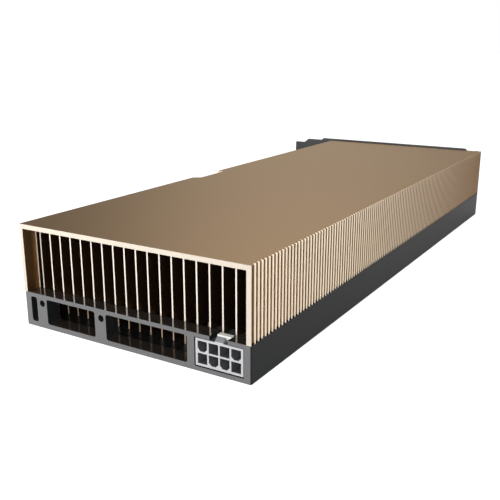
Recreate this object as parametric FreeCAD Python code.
import FreeCAD, Part
import math
import os

# Passive accelerator card, two slots wide, lying on its backplate.
# Millimetres. x runs across the fins, y from the air inlet end to the slot bracket, z up.
# Every size below is in card coordinates, with zero at the corner of the body at the inlet end.
# ORIGIN then moves the card so that the middle of its bounding box floor is at zero.

V = FreeCAD.Vector

# ---------------------------------------------------------------- body
CARD_LENGTH = 267.7          # inlet end to the inner face of the slot bracket
CARD_WIDTH = 97.3
CARD_HEIGHT = 38.4
FRAME_HEIGHT = 12.9          # the cover stands on the frame here
FIT = 0.2                    # clearance round a piece that drops into another
THERMAL_GAP = 0.1            # paste joint between the dies and the pedestal

# ---------------------------------------------------------------- cover
COVER_TOP = 1.7
COVER_LEFT_WALL = 1.5
COVER_RIGHT_WALL = 1.8       # over the ribs
RIB_PITCH = 2.175
RIB_WIDTH = 0.98
GROOVE_DEPTH = 0.9
FIRST_RIB = 1.46             # width of the rib at the inlet end
LAST_RIB = 1.5               # least width of the rib at the bracket end
LUG_PLACES = (72.0, 160.0, 248.0)
LUG_HALF_WIDTH = 2.8
LUG_BEVEL = 1.2
LUG_Z = 8.2

# relief in the left long side, which leaves room for the latch of the host's card slot
RELIEF_START = 107.3
RELIEF_END = 129.1
RELIEF_DEPTH = 3.3
RELIEF_LEAD = 2.3            # length of the slanted start

# ---------------------------------------------------------------- heat sink
FIN_COUNT = 19
FIN_FIRST = 3.3              # middle of the first fin
FIN_PITCH = 4.98
FIN_THICKNESS = 0.55
FIN_FRONT = 6.4              # upper front edge
FIN_LOWER_FRONT = 12.9       # front edge below the step
FIN_STEP_Z = 11.5            # underside of the step, just over the power inlet
FIN_REAR = 263.7
SIDE_FIN_LEFT = 1.6          # thin fin that lines the cover's left wall
SIDE_FIN_THICKNESS = 0.4
SIDE_FIN_FRONT = 5.8
FIN_TOP_GAP = 0.2
BASE_THICKNESS = 3.0
BASE_FRONT = 58.0
CHAMBER_HALF_WIDTH = 28.5
CHAMBER_HALF_LENGTH = 59.0
PEDESTAL_HALF_WIDTH = 24.5
PEDESTAL_HALF_LENGTH = 18.5
POST_RADIUS = 3.2            # over the corners of a six-sided post

# ---------------------------------------------------------------- frame
FRAME_WALL = 2.0
NEAR_WALL = 6.1
FAR_WALL = 3.5
CORNER_BEVEL = 0.4
RAIL_WIDTH = 2.1
RAIL_FRONT = 60.0
ARM_RAIL_FRONT = 22.0        # the rail beside the board's arm starts here
WINDOW_BOTTOM = 1.9
WINDOW_TOP = 11.4
WINDOW_RADIUS = 0.9
WINDOWS = ((3.0, 6.0), (10.85, 34.0), (39.0, 73.3))
END_HOLES = ((8.65, 9.5), (36.9, 9.5))
END_HOLE_RADIUS = 1.25       # tapped M3

# ---------------------------------------------------------------- backplate and board
BACKPLATE_THICKNESS = 1.2
FOOT_GAP = 0.1               # between the deep fins and the backplate
TONGUES = ((12.0, 32.5), (41.0, 71.0))
TONGUE_LENGTH = 1.3
TONGUE_BOTTOM = 0.6
FILM_THICKNESS = 0.2
BOARD_BOTTOM = 3.4
BOARD_THICKNESS = 1.6
BOARD_FRONT = 60.5
ARM_FRONT = 14.4             # the arm beside the deep fins, which carries the power inlet
ARM_LEFT = 75.8
BOARD_SHOULDER = 5.6         # how far the board stands out of the body beside the tab
TAB_REACH = 13.85            # end of the edge-connector tab, outside the body
KEY_FROM_BRACKET = 57.15
KEY_WIDTH = 1.9
TAB_SHORT = 12.6             # tab from the key to its end near the bracket
TAB_LONG = 72.6              # tab from the key to its far end
TAB_BEVEL = 1.3
HOOK_GAP = 2.9
HOOK_WIDTH = 4.2
HOOK_BARB = 1.6

SMALL_SIDES = 12             # facets round a small fastener or its hole
SCREW_HEAD_RADIUS = 2.3
SCREW_SHANK_RADIUS = 1.2
SPACER_RADIUS = 2.6          # over the corners of a six-sided spacer
SCREW_HOLE_ROOF = 1.2        # metal left above a blind screw hole
SCREW_INSET = 4.6            # middle of a frame screw, in from the side of the body
LEFT_SCREWS = (66.0, 142.0, 204.0, 258.0)
RIGHT_SCREWS = (34.0, 97.0, 204.0, 258.0)
COOLER_SCREW_X = 24.5        # from the middle of the package
COOLER_SCREW_Y = 37.5
COOLER_HEAD_RADIUS = 2.8
COOLER_SHANK_RADIUS = 1.4
COOLER_HEAD_SINK = 0.4       # head below the face of the backplate
ACCESS_RADIUS = 3.9

# ---------------------------------------------------------------- on the board
PACKAGE_Y = 151.0            # middle of the package
PACKAGE_WIDTH = 58.0
PACKAGE_LENGTH = 60.0
SUBSTRATE_THICKNESS = 1.9
STIFFENER_RIM = 3.4
STIFFENER_THICKNESS = 0.6
DIE_WIDTH = 26.0
DIE_LENGTH = 32.0
DIE_THICKNESS = 0.8
STACK_WIDTH = 10.0
STACK_LENGTH = 10.4
STACK_GAP = 0.5
PHASES = 8
PHASE_PITCH = 8.6
CHOKE_INSET = 10.9           # middle of the choke row, in from the side of the body
CHOKE_WIDTH = 5.6
CHOKE_LENGTH = 7.6
PAD_THICKNESS = 0.5
STAGE_INSET = 16.6
STAGE_WIDTH = 4.6
STAGE_LENGTH = 6.0
STAGE_THICKNESS = 0.9
CAPACITOR_COUNT = 7
CAPACITOR_PITCH = 9.0
CAPACITOR_WIDTH = 6.9
CAPACITOR_HEIGHT = 3.9
CAPACITOR_Y = 71.0
BRACKET_ARM = 7.0
BRACKET_SPRING_THICKNESS = 1.2

# ---------------------------------------------------------------- power inlet
INLET_LEFT = 76.5
INLET_BOTTOM = 1.85
INLET_WIDTH = 17.8
INLET_HEIGHT = 9.35
INLET_DEPTH = 12.2
INLET_FRONT = 0.2
INLET_CLEARANCE = 0.35
CELL_PITCH = 4.2
CELL_SIZE = 3.6
CELL_CHAMFER = 1.0
CELL_DEPTH = 10.0
PIN_SIZE = 1.0
PIN_RECESS = 4.3
EAR_WIDTH = 1.0
EAR_THICKNESS = 1.2
LATCH_WIDTH = 3.2
LATCH_RISE = 1.45
LATCH_GROOVE = 0.4           # gap behind the ramp that the lever drops into
LATCH_HEAD_LEFT = 1.95
LATCH_HEAD_RIGHT = 3.2
LATCH_HEAD_LENGTH = 1.9
LATCH_HEAD_TOP = 13.05
LATCH_HEAD_TAPER = 1.4
LATCH_NOTCH_WIDTH = 6.9
UPPER_LEG_Y = 19.8           # where each row of contacts turns down through the board
LOWER_LEG_Y = 15.7
LEG_BELOW_BOARD = 0.8

# ---------------------------------------------------------------- slot bracket
SLOT_PITCH = 20.32
SLOT_PLATE = 18.42
BRACKET_BOTTOM = 0.66
BRACKET_THICKNESS = 0.9
TAIL_END = -27.5
TAIL_WIDTH = 10.19
TAIL_CORNER = 0.4
TAIL_RAISE = 0.6             # middle of a tail above the middle of its slot
SHOULDER_X = -18.05
WAIST_X = -7.0
WAIST_STEP = 1.2
FLANGE_FACE = 92.5
FLANGE_LENGTH = 11.4
FLANGE_INSET = 2.4
FLANGE_NECK = 4.9
SCREW_NOTCH_WIDTH = 4.4
NOTCH_RAISE = 4.0            # middle of a notch above the middle of its slot
VENT_WIDTH = 3.2
VENT_LENGTH = 9.4
VENT_BEVEL = 0.95
VENT_PITCH = 5.2
VENT_COLUMNS = 16
VENT_FIRST = 5.6
VENT_ROWS_Z = (19.6, 30.9)
BRACKET_SCREWS = (14.0, 48.65, 83.3)
BRACKET_SCREW_Z = 7.0
BRACKET_SCREW_LENGTH = 3.9
PAN_HEAD_RADIUS = 2.2
PAN_HEAD_HEIGHT = 1.3

# ---------------------------------------------------------------- worked out from the above
BOARD_TOP = BOARD_BOTTOM + BOARD_THICKNESS
BASE_BOTTOM = FRAME_HEIGHT - BASE_THICKNESS
PACKAGE_X = CARD_WIDTH / 2
SUBSTRATE_TOP = BOARD_TOP + SUBSTRATE_THICKNESS
DIE_TOP = SUBSTRATE_TOP + DIE_THICKNESS
KEY_Y = CARD_LENGTH - KEY_FROM_BRACKET
HOOK_START = KEY_Y - TAB_LONG - HOOK_GAP - HOOK_WIDTH
BRACKET_TOP = BRACKET_BOTTOM + SLOT_PITCH + SLOT_PLATE
INLET_X = INLET_LEFT + INLET_WIDTH / 2
INLET_Z = INLET_BOTTOM + INLET_HEIGHT / 2
INLET_TOP = INLET_BOTTOM + INLET_HEIGHT
INLET_REAR = INLET_FRONT + INLET_DEPTH
FLANGE_END = CARD_LENGTH + FLANGE_LENGTH
ORIGIN = V(-(TAIL_END + CARD_WIDTH) / 2, -FLANGE_END / 2, 0)


# ---------------------------------------------------------------- helpers
def block(x0, x1, y0, y1, z0, z1):
    return Part.makeBox(x1 - x0, y1 - y0, z1 - z0, V(x0, y0, z0))


def prism(points, z0, z1):
    """Outline in plan, pulled up from z0 to z1."""
    loop = [V(x, y, z0) for x, y in points]
    return Part.Face(Part.makePolygon(loop + loop[:1])).extrude(V(0, 0, z1 - z0))


def side_prism(points, x0, x1):
    """Outline of (y, z) points, pulled across from x0 to x1."""
    loop = [V(x0, y, z) for y, z in points]
    return Part.Face(Part.makePolygon(loop + loop[:1])).extrude(V(x1 - x0, 0, 0))


def end_prism(points, y0, y1):
    """Outline of (x, z) points, pulled along from y0 to y1."""
    loop = [V(x, y0, z) for x, z in points]
    return Part.Face(Part.makePolygon(loop + loop[:1])).extrude(V(0, y1 - y0, 0))


def cylinder(x, y, z0, z1, radius):
    return Part.makeCylinder(radius, z1 - z0, V(x, y, z0))


def hexagon(x, y, z0, z1, radius):
    """Six-sided prism standing at (x, y), measured over its corners."""
    return prism([(x + radius * math.cos(math.radians(60 * i)),
                   y + radius * math.sin(math.radians(60 * i))) for i in range(6)], z0, z1)


def edges_along(shape, direction):
    """Straight edges of a shape that run along one axis."""
    found = []
    for edge in shape.Edges:
        if isinstance(edge.Curve, Part.Line):
            run = edge.Vertexes[-1].Point - edge.Vertexes[0].Point
            if abs(abs(run.dot(direction)) - run.Length) < 1e-6:
                found.append(edge)
    return found


def turned(stations, sides=SMALL_SIDES):
    """Small round piece along +x, made of flat facets, through (x, radius) stations."""
    rings = []
    for x, radius in stations:
        ring = [V(x, radius * math.cos(2 * math.pi * i / sides),
                  radius * math.sin(2 * math.pi * i / sides)) for i in range(sides)]
        rings.append(Part.makePolygon(ring + ring[:1]))
    return Part.makeLoft(rings, True, True)


def group(solids):
    return Part.makeCompound(solids)


def relief_points(grow):
    """Corners of the latch relief, grown into the card by a wall or a clearance."""
    slope = math.hypot(RELIEF_DEPTH, RELIEF_LEAD)
    shift = (1 - RELIEF_LEAD / slope) * RELIEF_LEAD / RELIEF_DEPTH - RELIEF_DEPTH / slope
    start = RELIEF_START + grow * shift
    return [(grow, start), (RELIEF_DEPTH + grow, start + RELIEF_LEAD),
            (RELIEF_DEPTH + grow, RELIEF_END + grow), (grow, RELIEF_END + grow)]


def inner_outline(left, right, near, far):
    """Plan outline inside the body: insets from its four sides, following the relief."""
    return ([(left, near)] + relief_points(left) + [(left, CARD_LENGTH - far),
            (CARD_WIDTH - right, CARD_LENGTH - far), (CARD_WIDTH - right, near)])


def screw_places():
    left = [(SCREW_INSET, y) for y in LEFT_SCREWS]
    right = [(CARD_WIDTH - SCREW_INSET, y) for y in RIGHT_SCREWS]
    return left + right


def cooler_screw_places():
    return [(PACKAGE_X + sx * COOLER_SCREW_X, PACKAGE_Y + sy * COOLER_SCREW_Y)
            for sx in (-1, 1) for sy in (-1, 1)]


def phase_places():
    first = PACKAGE_Y - (PHASES - 1) / 2 * PHASE_PITCH
    return [first + i * PHASE_PITCH for i in range(PHASES)]


# ---------------------------------------------------------------- cover
def ribbed_side():
    """Plan points of the ribbed long side, from the bracket end back to the inlet end."""
    groove = RIB_PITCH - RIB_WIDTH
    count = int((CARD_LENGTH - FIRST_RIB - LAST_RIB + RIB_WIDTH) / RIB_PITCH)
    points = []
    for i in reversed(range(count)):
        start = FIRST_RIB + i * RIB_PITCH
        points += [(CARD_WIDTH, start + groove), (CARD_WIDTH - GROOVE_DEPTH, start + groove),
                   (CARD_WIDTH - GROOVE_DEPTH, start), (CARD_WIDTH, start)]
    return points


def lug(y, grow=0.0):
    """Lug with bevelled corners that hangs from the cover's left wall, or the pocket for it."""
    half, cut = LUG_HALF_WIDTH + grow, LUG_BEVEL
    low, top = LUG_Z - half, FRAME_HEIGHT + grow
    return side_prism([(y - half, top), (y - half, low + cut), (y - half + cut, low),
                       (y + half - cut, low), (y + half, low + cut), (y + half, top)],
                      0, COVER_LEFT_WALL + grow)


def make_cover():
    outline = ([(0, 0)] + relief_points(0) + [(0, CARD_LENGTH), (CARD_WIDTH, CARD_LENGTH)]
               + ribbed_side() + [(CARD_WIDTH, 0)])
    shell = prism(outline, FRAME_HEIGHT, CARD_HEIGHT)
    room = prism(inner_outline(COVER_LEFT_WALL, COVER_RIGHT_WALL, -1, -1),
                 FRAME_HEIGHT - 1, CARD_HEIGHT - COVER_TOP)
    shell = shell.cut(room)
    for y in LUG_PLACES:
        shell = shell.fuse(lug(y)).cut(countersunk_screw(SCREW_SHANK_RADIUS + FIT).translated(
            V(0, y, LUG_Z)))
    return shell.removeSplitter()


# ---------------------------------------------------------------- screws
def countersunk_screw(shank, length=4.0, head=SCREW_HEAD_RADIUS):
    """Countersunk screw along +x, with its flat head flush at x = 0."""
    cone = head - SCREW_SHANK_RADIUS
    rim = head + shank - SCREW_SHANK_RADIUS
    return turned([(0, rim), (cone, shank), (length, shank)])


def drilled(x, y, z0, z1, radius):
    """Faceted upright hole for a small screw."""
    return upright(turned([(0, radius), (z1 - z0, radius)]), x, y, z0)


def along_y(x, y0, y1, z, radius):
    """Faceted hole for a small screw along y."""
    hole = turned([(0, radius), (y1 - y0, radius)])
    hole.rotate(V(0, 0, 0), V(0, 0, 1), 90)
    return hole.translated(V(x, y0, z))


def upright(screw, x, y, z):
    """Turns a screw made along +x to point up, and stands its head at (x, y, z)."""
    turned = screw.copy()
    turned.rotate(V(0, 0, 0), V(0, 1, 0), -90)
    return turned.translated(V(x, y, z))


def make_cover_screws():
    screw = countersunk_screw(SCREW_SHANK_RADIUS, FRAME_WALL + RAIL_WIDTH - FIT)
    return group([screw.translated(V(0, y, LUG_Z)) for y in LUG_PLACES])


def make_backplate_screws():
    screw = countersunk_screw(SCREW_SHANK_RADIUS, BASE_BOTTOM - SCREW_HOLE_ROOF - FIT)
    return group([upright(screw, x, y, 0) for x, y in screw_places()])


def make_cooler_screws():
    seat = BOARD_BOTTOM - FIT - BRACKET_SPRING_THICKNESS
    head_height = seat - COOLER_HEAD_SINK
    length = BASE_BOTTOM + 1.4 - COOLER_HEAD_SINK
    screw = turned([(0, COOLER_HEAD_RADIUS), (head_height, COOLER_HEAD_RADIUS)]).fuse(
        turned([(head_height, COOLER_SHANK_RADIUS), (length, COOLER_SHANK_RADIUS)]))
    return group([upright(screw, x, y, COOLER_HEAD_SINK) for x, y in cooler_screw_places()])


def make_bracket_screws():
    """Pan-head screws through the bracket into the frame's far wall."""
    length = PAN_HEAD_HEIGHT + BRACKET_SCREW_LENGTH
    dome = 0.35
    screw = turned([(0, PAN_HEAD_RADIUS - dome), (dome, PAN_HEAD_RADIUS),
                    (PAN_HEAD_HEIGHT, PAN_HEAD_RADIUS)]).fuse(
        turned([(PAN_HEAD_HEIGHT, SCREW_SHANK_RADIUS), (length, SCREW_SHANK_RADIUS)]))
    screw.rotate(V(0, 0, 0), V(0, 0, 1), -90)
    head = CARD_LENGTH + BRACKET_THICKNESS + PAN_HEAD_HEIGHT
    return group([screw.translated(V(x, head, BRACKET_SCREW_Z)) for x in BRACKET_SCREWS])


# ---------------------------------------------------------------- heat sink
def fin_profile(deep):
    """Side view of a fin. Deep fins reach down past the base plate to the backplate."""
    top = CARD_HEIGHT - COVER_TOP - FIN_TOP_GAP
    foot = BACKPLATE_THICKNESS + FOOT_GAP
    root = BASE_FRONT - FIT
    points = [(FIN_FRONT, top), (FIN_FRONT, FIN_STEP_Z)]
    if deep:
        points += [(FIN_LOWER_FRONT, FIN_STEP_Z), (FIN_LOWER_FRONT, foot), (root, foot)]
    else:
        points += [(root, FIN_STEP_Z)]
    return points + [(root, FRAME_HEIGHT), (FIN_REAR, FRAME_HEIGHT), (FIN_REAR, top)]


def parted_by_relief(fin, name):
    """The lengths of a fin before and after the relief, by name."""
    relief = relief_points(COVER_LEFT_WALL + FIT)
    front = block(0, CARD_WIDTH, 0, relief[0][1] - 1, 0, CARD_HEIGHT)
    rear = block(0, CARD_WIDTH, relief[-1][1], CARD_LENGTH, 0, CARD_HEIGHT)
    return {name + "_front": fin.common(front), name + "_rear": fin.common(rear)}


def make_side_fin():
    """Thin fin against the cover's left wall, which closes the first channel."""
    fin = block(SIDE_FIN_LEFT, SIDE_FIN_LEFT + SIDE_FIN_THICKNESS, SIDE_FIN_FRONT, FIN_REAR,
                FRAME_HEIGHT, CARD_HEIGHT - COVER_TOP - FIN_TOP_GAP)
    return parted_by_relief(fin, "side_fin")


def make_fins():
    """Every upright fin by name."""
    fins = {}
    clear_of_inlet = INLET_LEFT - EAR_WIDTH - FIT
    for i in range(FIN_COUNT):
        middle = FIN_FIRST + i * FIN_PITCH
        left, right = middle - FIN_THICKNESS / 2, middle + FIN_THICKNESS / 2
        fin = side_prism(fin_profile(right < clear_of_inlet), left, right)
        name = f"fin_{i + 1:02d}"
        if left < RELIEF_DEPTH + COVER_LEFT_WALL + FIT:
            fins.update(parted_by_relief(fin, name))
        else:
            fins[name] = fin
    return fins


def make_base_plate():
    outline = inner_outline(FRAME_WALL + FIT, FRAME_WALL + FIT, BASE_FRONT,
                            CARD_LENGTH - FIN_REAR)
    plate = prism(outline, BASE_BOTTOM, FRAME_HEIGHT)
    land_bottom = BOARD_TOP + STAGE_THICKNESS + PAD_THICKNESS
    half = PHASES * PHASE_PITCH / 2
    for x in (STAGE_INSET, CARD_WIDTH - STAGE_INSET):
        plate = plate.fuse(block(x - STAGE_WIDTH / 2, x + STAGE_WIDTH / 2, PACKAGE_Y - half,
                                 PACKAGE_Y + half, land_bottom, BASE_BOTTOM))
    plate = plate.cut(block(PACKAGE_X - CHAMBER_HALF_WIDTH, PACKAGE_X + CHAMBER_HALF_WIDTH,
                            PACKAGE_Y - CHAMBER_HALF_LENGTH, PACKAGE_Y + CHAMBER_HALF_LENGTH,
                            0, CARD_HEIGHT))
    return plate.removeSplitter()


def make_vapour_chamber():
    half_width, half_length = CHAMBER_HALF_WIDTH - FIT / 2, CHAMBER_HALF_LENGTH - FIT / 2
    plate = block(PACKAGE_X - half_width, PACKAGE_X + half_width, PACKAGE_Y - half_length,
                  PACKAGE_Y + half_length, BASE_BOTTOM, FRAME_HEIGHT)
    plate = plate.makeChamfer(1.5, edges_along(plate, V(0, 0, 1)))
    pedestal = block(PACKAGE_X - PEDESTAL_HALF_WIDTH, PACKAGE_X + PEDESTAL_HALF_WIDTH,
                     PACKAGE_Y - PEDESTAL_HALF_LENGTH, PACKAGE_Y + PEDESTAL_HALF_LENGTH,
                     DIE_TOP + THERMAL_GAP, BASE_BOTTOM)
    chamber = plate.fuse(pedestal)
    for x, y in cooler_screw_places():
        chamber = chamber.fuse(hexagon(x, y, BOARD_TOP + FIT, BASE_BOTTOM, POST_RADIUS))
        chamber = chamber.cut(drilled(x, y, BOARD_TOP, BASE_BOTTOM + 1.8, COOLER_SHANK_RADIUS))
    return chamber.removeSplitter()


# ---------------------------------------------------------------- frame
def window(x0, x1):
    opening = block(x0, x1, -1, NEAR_WALL + 1, WINDOW_BOTTOM, WINDOW_TOP)
    return opening.makeFillet(WINDOW_RADIUS, edges_along(opening, V(0, 1, 0)))


def inlet_opening():
    """Opening for the power inlet, with the notch above it for its latch."""
    c = INLET_CLEARANCE
    opening = block(INLET_LEFT - c, INLET_LEFT + INLET_WIDTH + c, -1, NEAR_WALL + 1,
                    INLET_BOTTOM - c, INLET_TOP + c)
    opening = opening.makeFillet(c, edges_along(opening, V(0, 1, 0)))
    half = LATCH_NOTCH_WIDTH / 2
    return opening.fuse(block(INLET_X - half, INLET_X + half, -1, NEAR_WALL + 1, INLET_Z,
                              FRAME_HEIGHT + 1))


def board_rails():
    """Rails inside both long walls, which clamp the board and carry the base plate."""
    far, middle, overlap = CARD_LENGTH - FAR_WALL, CARD_WIDTH / 2, FRAME_WALL / 2
    rails = block(overlap, middle, RAIL_FRONT, far, BOARD_TOP, BASE_BOTTOM).fuse(
        block(middle, CARD_WIDTH - overlap, ARM_RAIL_FRONT, far, BOARD_TOP, BASE_BOTTOM))
    inset = FRAME_WALL + RAIL_WIDTH
    rails = rails.cut(prism(inner_outline(inset, inset, 0, FAR_WALL),
                            BOARD_TOP - 1, BASE_BOTTOM + 1))
    for x, y in screw_places():
        reach = SPACER_RADIUS if x < middle else -SPACER_RADIUS
        rails = rails.fuse(block(min(x - reach, x + reach), max(x - reach, x + reach),
                                 y - SPACER_RADIUS, y + SPACER_RADIUS, BOARD_TOP, BASE_BOTTOM))
    return rails


def make_frame():
    body = block(0, CARD_WIDTH, 0, CARD_LENGTH, 0, FRAME_HEIGHT)
    near_corners = [e for e in edges_along(body, V(0, 0, 1)) if e.Vertexes[0].Point.y < 1]
    body = body.makeChamfer(CORNER_BEVEL, near_corners)
    body = body.cut(prism([(-1, RELIEF_START)] + relief_points(0) + [(-1, RELIEF_END)],
                          -1, FRAME_HEIGHT + 1))
    body = body.cut(prism(inner_outline(FRAME_WALL, FRAME_WALL, NEAR_WALL, FAR_WALL),
                          -1, FRAME_HEIGHT + 1))
    body = body.fuse(board_rails())
    for x0, x1 in WINDOWS:
        body = body.cut(window(x0, x1))
    for x, z in END_HOLES:
        body = body.cut(Part.makeCylinder(END_HOLE_RADIUS, NEAR_WALL + 2, V(x, -1, z), V(0, 1, 0)))
    body = body.cut(inlet_opening())
    body = body.cut(block(-1, FRAME_WALL + 0.1, HOOK_START - FIT, CARD_LENGTH - FAR_WALL,
                          BOARD_BOTTOM - FIT, BOARD_TOP))
    for x0, x1 in TONGUES:
        body = body.cut(block(x0 - FIT, x1 + FIT, NEAR_WALL - TONGUE_LENGTH - FIT, NEAR_WALL,
                              TONGUE_BOTTOM - FIT / 2, BACKPLATE_THICKNESS + FIT / 2))
    for y in LUG_PLACES:
        body = body.cut(lug(y, FIT).translated(V(-FIT / 2, 0, 0)))
        body = body.cut(countersunk_screw(SCREW_SHANK_RADIUS, FRAME_WALL + RAIL_WIDTH).translated(
            V(0, y, LUG_Z)))
    for x, y in screw_places():
        body = body.cut(drilled(x, y, BOARD_TOP - 1, BASE_BOTTOM - SCREW_HOLE_ROOF,
                                SCREW_SHANK_RADIUS))
    for x in BRACKET_SCREWS:
        body = body.cut(along_y(x, CARD_LENGTH - FAR_WALL - 1, CARD_LENGTH + 1, BRACKET_SCREW_Z,
                                SCREW_SHANK_RADIUS))
    return body.removeSplitter()


# ---------------------------------------------------------------- backplate, film, board
def make_backplate():
    outline = inner_outline(FRAME_WALL + FIT, FRAME_WALL + FIT, NEAR_WALL + FIT, FAR_WALL + FIT)
    plate = prism(outline, 0, BACKPLATE_THICKNESS)
    for x0, x1 in TONGUES:
        plate = plate.fuse(block(x0, x1, NEAR_WALL - TONGUE_LENGTH, NEAR_WALL + 1,
                                 TONGUE_BOTTOM, BACKPLATE_THICKNESS))
    hole = countersunk_screw(SCREW_SHANK_RADIUS + FIT / 2, BOARD_TOP)
    for x, y in screw_places():
        plate = plate.fuse(hexagon(x, y, BACKPLATE_THICKNESS / 2, BOARD_BOTTOM, SPACER_RADIUS))
        plate = plate.cut(upright(hole, x, y, 0))
    for x, y in cooler_screw_places():
        plate = plate.cut(cylinder(x, y, -1, BACKPLATE_THICKNESS + 1, ACCESS_RADIUS))
    return plate.removeSplitter()


def make_film():
    side, top = FRAME_WALL + 1, BACKPLATE_THICKNESS + FILM_THICKNESS
    film = prism(inner_outline(side, side, BOARD_FRONT, FAR_WALL + 1), BACKPLATE_THICKNESS, top)
    film = film.fuse(block(ARM_LEFT, CARD_WIDTH - side, ARM_FRONT, BOARD_FRONT + 1,
                           BACKPLATE_THICKNESS, top)).removeSplitter()
    for x, y in screw_places():
        film = film.cut(hexagon(x, y, 0, BOARD_BOTTOM, SPACER_RADIUS + FIT))
    for x, y in cooler_screw_places():
        film = film.cut(drilled(x, y, 0, BOARD_BOTTOM, ACCESS_RADIUS))
    return film


def board_outline():
    """Board with its shoulder, the bevelled edge-connector tab and the retention hook."""
    side = FRAME_WALL + FIT
    relief = relief_points(side)
    far = CARD_LENGTH - FAR_WALL - FIT
    tab_far, tab_near = KEY_Y + TAB_SHORT, KEY_Y - TAB_LONG
    hook_end = HOOK_START + HOOK_WIDTH
    return [(side, BOARD_FRONT)] + relief[:3] + [
        (side, RELIEF_END + side), (side, HOOK_START + 2 * side),
        (-BOARD_SHOULDER, HOOK_START + 2 * side),
        (-TAB_REACH + HOOK_BARB, HOOK_START + 2 * side - HOOK_BARB),
        (-TAB_REACH + 1.0, HOOK_START + 2 * side), (-TAB_REACH + 1.0, hook_end + 1.0),
        (-BOARD_SHOULDER, hook_end + 1.0), (-BOARD_SHOULDER, tab_near),
        (-TAB_REACH + TAB_BEVEL, tab_near), (-TAB_REACH, tab_near + TAB_BEVEL),
        (-TAB_REACH, tab_far - TAB_BEVEL), (-TAB_REACH + TAB_BEVEL, tab_far),
        (-BOARD_SHOULDER, tab_far), (-BOARD_SHOULDER, far - 2.0), (side, far - 2.0),
        (side, far), (CARD_WIDTH - side, far), (CARD_WIDTH - side, ARM_FRONT),
        (ARM_LEFT, ARM_FRONT), (ARM_LEFT, BOARD_FRONT)]


def make_circuit_board():
    board = prism(board_outline(), BOARD_BOTTOM, BOARD_TOP)
    key = block(-TAB_REACH - 1, -BOARD_SHOULDER - KEY_WIDTH / 2, KEY_Y - KEY_WIDTH / 2,
                KEY_Y + KEY_WIDTH / 2, 0, BASE_BOTTOM)
    key = key.fuse(cylinder(-BOARD_SHOULDER - KEY_WIDTH / 2, KEY_Y, 0, BASE_BOTTOM, KEY_WIDTH / 2))
    board = board.cut(key)
    bevel = BOARD_THICKNESS * 0.3
    for z, inward in ((BOARD_BOTTOM, 1), (BOARD_TOP, -1)):
        wedge = end_prism([(-TAB_REACH - 1, z), (-TAB_REACH + TAB_BEVEL, z),
                           (-TAB_REACH, z + inward * bevel), (-TAB_REACH - 1, z + inward * bevel)],
                          KEY_Y - TAB_LONG, KEY_Y + TAB_SHORT)
        board = board.cut(wedge)
    for x, y in screw_places():
        board = board.cut(drilled(x, y, 0, BASE_BOTTOM, SCREW_SHANK_RADIUS + FIT))
    for x, y in cooler_screw_places():
        board = board.cut(drilled(x, y, 0, BASE_BOTTOM, COOLER_SHANK_RADIUS + FIT))
    half = PIN_SIZE / 2 + FIT / 2
    for x, z, keyed in cell_centres():
        y = UPPER_LEG_Y if z > INLET_Z else LOWER_LEG_Y
        board = board.cut(block(x - half, x + half, y - half, y + half, 0, BASE_BOTTOM))
    return board


def make_backing_bracket():
    """Cross of two arms under the package, one to each pair of opposite cooler screws."""
    top = BOARD_BOTTOM - FIT
    bottom = top - BRACKET_SPRING_THICKNESS
    half_span = math.hypot(COOLER_SCREW_X, COOLER_SCREW_Y)
    arms = None
    half_arm, bevel = BRACKET_ARM / 2, BRACKET_ARM / 4
    reach = half_span + half_arm
    for sign in (-1, 1):
        arm = prism([(-reach, -bevel), (-reach + bevel, -half_arm), (reach - bevel, -half_arm),
                     (reach, -bevel), (reach, bevel), (reach - bevel, half_arm),
                     (-reach + bevel, half_arm), (-reach, bevel)], bottom, top)
        arm.rotate(V(0, 0, 0), V(0, 0, 1),
                   sign * math.degrees(math.atan2(COOLER_SCREW_Y, COOLER_SCREW_X)))
        arms = arm if arms is None else arms.fuse(arm)
    arms = arms.translated(V(PACKAGE_X, PACKAGE_Y, 0))
    for x, y in cooler_screw_places():
        arms = arms.cut(drilled(x, y, 0, BASE_BOTTOM, COOLER_SHANK_RADIUS + FIT / 2))
    return arms.removeSplitter()


# ---------------------------------------------------------------- on the board
def make_substrate():
    half_width, half_length = PACKAGE_WIDTH / 2, PACKAGE_LENGTH / 2
    return block(PACKAGE_X - half_width, PACKAGE_X + half_width, PACKAGE_Y - half_length,
                 PACKAGE_Y + half_length, BOARD_TOP, SUBSTRATE_TOP)


def make_stiffener():
    rings = []
    for inset in (0.0, STIFFENER_RIM):
        half_width, half_length = PACKAGE_WIDTH / 2 - inset, PACKAGE_LENGTH / 2 - inset
        ring = block(PACKAGE_X - half_width, PACKAGE_X + half_width, PACKAGE_Y - half_length,
                     PACKAGE_Y + half_length, SUBSTRATE_TOP, SUBSTRATE_TOP + STIFFENER_THICKNESS)
        rings.append(ring.makeChamfer(0.8, edges_along(ring, V(0, 0, 1))))
    return rings[0].cut(rings[1])


def make_die():
    return block(PACKAGE_X - DIE_WIDTH / 2, PACKAGE_X + DIE_WIDTH / 2, PACKAGE_Y - DIE_LENGTH / 2,
                 PACKAGE_Y + DIE_LENGTH / 2, SUBSTRATE_TOP, DIE_TOP)


def make_memory_stacks():
    """Three stacks beside each long side of the die."""
    stacks = {}
    offset = DIE_WIDTH / 2 + STACK_GAP + STACK_WIDTH / 2
    for side in (-1, 1):
        for row in (-1, 0, 1):
            x = PACKAGE_X + side * offset
            y = PACKAGE_Y + row * (STACK_LENGTH + STACK_GAP)
            stacks[f"memory_stack_{len(stacks) + 1}"] = block(
                x - STACK_WIDTH / 2, x + STACK_WIDTH / 2, y - STACK_LENGTH / 2,
                y + STACK_LENGTH / 2, SUBSTRATE_TOP, DIE_TOP)
    return stacks


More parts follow.
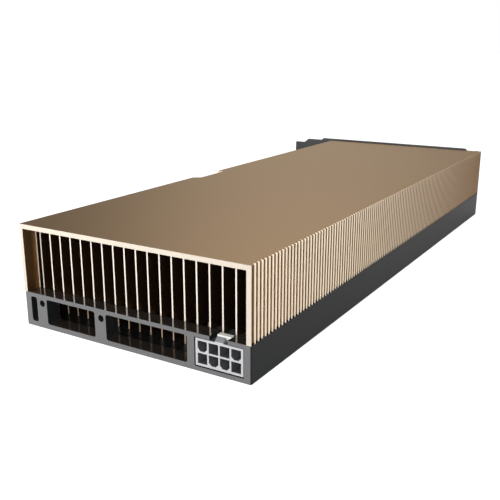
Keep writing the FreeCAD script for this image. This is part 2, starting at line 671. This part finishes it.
def make_choke_row(x):
    """Moulded chokes, each with bevelled upright corners."""
    row = []
    for y in phase_places():
        choke = block(x - CHOKE_WIDTH / 2, x + CHOKE_WIDTH / 2, y - CHOKE_LENGTH / 2,
                      y + CHOKE_LENGTH / 2, BOARD_TOP, BASE_BOTTOM - PAD_THICKNESS)
        row.append(choke.makeChamfer(0.5, edges_along(choke, V(0, 0, 1))))
    return group(row)


def make_stage_row(x):
    return group([block(x - STAGE_WIDTH / 2, x + STAGE_WIDTH / 2, y - STAGE_LENGTH / 2,
                        y + STAGE_LENGTH / 2, BOARD_TOP, BOARD_TOP + STAGE_THICKNESS)
                  for y in phase_places()])


def make_pads(inset, width, bottom):
    """Two strips of thermal pad, one over each row."""
    half = PHASES * PHASE_PITCH / 2
    return group([block(x - width / 2, x + width / 2, PACKAGE_Y - half, PACKAGE_Y + half,
                        bottom, bottom + PAD_THICKNESS)
                  for x in (inset, CARD_WIDTH - inset)])


def make_capacitors():
    """Row of moulded polymer capacitors, with a drafted lid on a square foot."""
    row = []
    half, low, high = CAPACITOR_WIDTH / 2, BOARD_TOP, BOARD_TOP + CAPACITOR_HEIGHT
    for i in range(CAPACITOR_COUNT):
        x = SCREW_INSET + 8 + i * CAPACITOR_PITCH
        rings = []
        for z, inset in ((low, 0.0), ((low + high) / 2, 0.0), (high, 0.3)):
            reach = half - inset
            ring = [V(x - reach, CAPACITOR_Y - reach, z), V(x + reach, CAPACITOR_Y - reach, z),
                    V(x + reach, CAPACITOR_Y + reach, z), V(x - reach, CAPACITOR_Y + reach, z)]
            rings.append(Part.makePolygon(ring + ring[:1]))
        row.append(Part.makeLoft(rings, True, True))
    return group(row)


# ---------------------------------------------------------------- power inlet
def cell_centres():
    """Middle of each cell, and whether its lower corners are bevelled."""
    keyed = {0: (True, False, False, True), 1: (False, True, True, False)}
    return [(INLET_X + (column - 1.5) * CELL_PITCH, INLET_Z + (0.5 - row) * CELL_PITCH,
             keyed[row][column]) for row in (0, 1) for column in range(4)]


def cell(x, z, keyed):
    half, cut = CELL_SIZE / 2, CELL_CHAMFER
    points = [(x - half, z + half), (x + half, z + half)]
    if keyed:
        points += [(x + half, z - half + cut), (x + half - cut, z - half),
                   (x - half + cut, z - half), (x - half, z - half + cut)]
    else:
        points += [(x + half, z - half), (x - half, z - half)]
    return end_prism(points, INLET_FRONT - 1, INLET_FRONT + CELL_DEPTH)


def latch():
    """Ramp and head that the mating plug's lever catches on."""
    crest = INLET_TOP + LATCH_RISE
    behind = INLET_FRONT + LATCH_RISE
    root = INLET_TOP - EAR_WIDTH / 2
    left, right = INLET_X - LATCH_WIDTH / 2, INLET_X + LATCH_WIDTH / 2
    ramp = side_prism([(INLET_FRONT, root), (INLET_FRONT, INLET_TOP + 0.1), (behind, crest),
                       (behind + 0.3, crest), (behind + 0.3, root)], left, right)
    start = behind + 0.3 + LATCH_GROOVE
    low = crest - LATCH_RISE / 2
    neck = block(left, right, behind, start + LATCH_HEAD_LENGTH, root, low)
    head_left, head_right = INLET_X - LATCH_HEAD_LEFT, INLET_X + LATCH_HEAD_RIGHT
    head = end_prism([(head_left, low - 0.1), (head_left, LATCH_HEAD_TOP),
                      (head_right, LATCH_HEAD_TOP), (head_right, LATCH_HEAD_TOP - 0.35),
                      (head_right - LATCH_HEAD_TAPER, low - 0.1)],
                     start, start + LATCH_HEAD_LENGTH)
    return ramp.fuse(neck).fuse(head)


def make_power_inlet():
    housing = block(INLET_LEFT, INLET_LEFT + INLET_WIDTH, INLET_FRONT, INLET_REAR,
                    INLET_BOTTOM, INLET_TOP)
    ear_bottom, ear_top = INLET_BOTTOM + 1.2, INLET_TOP - 1.2
    for x in (INLET_LEFT - EAR_WIDTH, INLET_LEFT + INLET_WIDTH):
        housing = housing.fuse(block(x, x + EAR_WIDTH, NEAR_WALL, NEAR_WALL + EAR_THICKNESS,
                                     ear_bottom, ear_top))
    housing = housing.fuse(latch())
    for x, z, keyed in cell_centres():
        housing = housing.cut(cell(x, z, keyed))
        housing = housing.cut(pin(x, z))
    return housing.removeSplitter()


def pin(x, z):
    half = PIN_SIZE / 2
    return block(x - half, x + half, INLET_FRONT + PIN_RECESS, INLET_REAR, z - half, z + half)


def contact(x, z):
    """One bent pin, from its cell to below the board. The lower row first steps up on to it."""
    half = PIN_SIZE / 2
    tip, end = INLET_FRONT + PIN_RECESS, BOARD_BOTTOM - LEG_BELOW_BOARD
    if z > INLET_Z:
        points = [(tip, z - half), (UPPER_LEG_Y - half, z - half), (UPPER_LEG_Y - half, end),
                  (UPPER_LEG_Y + half, end), (UPPER_LEG_Y + half, z + half), (tip, z + half)]
    else:
        low = BOARD_TOP + FIT
        high = low + PIN_SIZE
        step = INLET_REAR + FIT
        points = [(tip, z - half), (step, z - half), (step + low - z + half, low),
                  (LOWER_LEG_Y - half, low), (LOWER_LEG_Y - half, end), (LOWER_LEG_Y + half, end),
                  (LOWER_LEG_Y + half, high), (step + high - z - half, high),
                  (step, z + half), (tip, z + half)]
    return side_prism(points, x - half, x + half)


def make_power_contacts():
    return group([contact(x, z) for x, z, keyed in cell_centres()])


# ---------------------------------------------------------------- slot bracket
def bracket_outline():
    """Front view of the two-slot bracket, as (x, z) points."""
    low, high = BRACKET_BOTTOM + WAIST_STEP, BRACKET_TOP - WAIST_STEP
    half_tail = TAIL_WIDTH / 2
    half_plate = SLOT_PLATE / 2 - WAIST_STEP
    root = SHOULDER_X - (half_plate - half_tail)
    points = [(WAIST_X, BRACKET_BOTTOM), (WAIST_X - WAIST_STEP, low)]
    for middle in (BRACKET_BOTTOM + SLOT_PLATE / 2, BRACKET_TOP - SLOT_PLATE / 2):
        tail_low = middle + TAIL_RAISE - half_tail
        tail_high = tail_low + TAIL_WIDTH
        points += [(SHOULDER_X, middle - half_plate), (root, tail_low),
                   (TAIL_END + TAIL_CORNER, tail_low), (TAIL_END, tail_low + TAIL_CORNER),
                   (TAIL_END, tail_high - TAIL_CORNER), (TAIL_END + TAIL_CORNER, tail_high),
                   (root, tail_high), (SHOULDER_X, middle + half_plate)]
    neck = FLANGE_FACE - FLANGE_NECK
    edge = FLANGE_FACE - 1.6
    return points + [(WAIST_X - WAIST_STEP, high), (WAIST_X, BRACKET_TOP),
                     (neck, BRACKET_TOP), (neck + WAIST_STEP, high), (edge, high),
                     (edge, BRACKET_TOP - FLANGE_INSET), (FLANGE_FACE, BRACKET_TOP - FLANGE_INSET),
                     (FLANGE_FACE, BRACKET_BOTTOM + FLANGE_INSET),
                     (edge, BRACKET_BOTTOM + FLANGE_INSET), (edge, low),
                     (neck + WAIST_STEP, low), (neck, BRACKET_BOTTOM)]


def vent(x, z):
    """Upright slot through the bracket, with bevelled ends."""
    half, tall, cut = VENT_WIDTH / 2, VENT_LENGTH / 2, VENT_BEVEL
    return end_prism([(x - half, z - tall + cut), (x - half + cut, z - tall),
                      (x + half - cut, z - tall), (x + half, z - tall + cut),
                      (x + half, z + tall - cut), (x + half - cut, z + tall),
                      (x - half + cut, z + tall), (x - half, z + tall - cut)],
                     CARD_LENGTH - 1, CARD_LENGTH + BRACKET_THICKNESS + 1)


def screw_notch(z, y_open):
    """Notch for a bracket screw in the flange, open to the flange's outer edge."""
    half = SCREW_NOTCH_WIDTH / 2
    x = FLANGE_FACE - BRACKET_THICKNESS - 1
    depth = BRACKET_THICKNESS + 2
    notch = Part.makeCylinder(half, depth, V(x, y_open, z), V(1, 0, 0))
    return notch.fuse(block(x, x + depth, y_open, FLANGE_END + 1, z - half, z + half))


def make_slot_bracket():
    t = BRACKET_THICKNESS
    plate = end_prism(bracket_outline(), CARD_LENGTH, CARD_LENGTH + t)
    bend = 1.3
    low, high = BRACKET_BOTTOM + FLANGE_INSET, BRACKET_TOP - FLANGE_INSET
    flange = block(FLANGE_FACE - bend - t, FLANGE_FACE, CARD_LENGTH, FLANGE_END, low, high)
    flange = flange.cut(block(0, FLANGE_FACE - t, CARD_LENGTH + t, FLANGE_END + 1, 0, CARD_HEIGHT + 5))
    bracket = plate.fuse(flange).removeSplitter()
    outer_bend = [e for e in edges_along(bracket, V(0, 0, 1))
                  if abs(e.Vertexes[0].Point.x - FLANGE_FACE) < 1e-6
                  and abs(e.Vertexes[0].Point.y - CARD_LENGTH) < 1e-6]
    bracket = bracket.makeFillet(bend, outer_bend)
    cuts = [vent(VENT_FIRST + i * VENT_PITCH, z)
            for i in range(VENT_COLUMNS) for z in VENT_ROWS_Z]
    for x in BRACKET_SCREWS:
        cuts.append(along_y(x, CARD_LENGTH - 1, CARD_LENGTH + t + 1, BRACKET_SCREW_Z,
                            SCREW_SHANK_RADIUS + FIT))
    for slot in (0, 1):
        z = BRACKET_BOTTOM + SLOT_PLATE / 2 + slot * SLOT_PITCH + NOTCH_RAISE
        cuts.append(screw_notch(z, CARD_LENGTH + FLANGE_LENGTH / 2))
    return bracket.cut(Part.makeCompound(cuts))


# ---------------------------------------------------------------- the whole card
def make_all():
    left, right = 0, CARD_WIDTH
    nodes = {"cover": make_cover(), "frame": make_frame(), "backplate": make_backplate(),
             "insulating_film": make_film(), "circuit_board": make_circuit_board(),
             "backing_bracket": make_backing_bracket(), "base_plate": make_base_plate(),
             "vapour_chamber": make_vapour_chamber(), "package_substrate": make_substrate(),
             "package_stiffener": make_stiffener(), "compute_die": make_die(),
             "power_inlet": make_power_inlet(), "power_contacts": make_power_contacts(),
             "slot_bracket": make_slot_bracket()}
    nodes.update(make_side_fin())
    nodes.update(make_fins())
    nodes.update(make_memory_stacks())
    nodes["chokes_left"] = make_choke_row(left + CHOKE_INSET)
    nodes["chokes_right"] = make_choke_row(right - CHOKE_INSET)
    nodes["power_stages_left"] = make_stage_row(left + STAGE_INSET)
    nodes["power_stages_right"] = make_stage_row(right - STAGE_INSET)
    nodes["choke_pads"] = make_pads(CHOKE_INSET, CHOKE_WIDTH, BASE_BOTTOM - PAD_THICKNESS)
    nodes["stage_pads"] = make_pads(STAGE_INSET, STAGE_WIDTH, BOARD_TOP + STAGE_THICKNESS)
    nodes["capacitors"] = make_capacitors()
    nodes["backplate_screws"] = make_backplate_screws()
    nodes["cover_screws"] = make_cover_screws()
    nodes["cooler_screws"] = make_cooler_screws()
    nodes["bracket_screws"] = make_bracket_screws()
    return nodes


os.makedirs("parts", exist_ok=True)
for name, shape in make_all().items():
    shape.translated(ORIGIN).exportStep(f"parts/{name}.step")
    print(name, len(shape.Solids), round(shape.Volume, 1), shape.isValid())
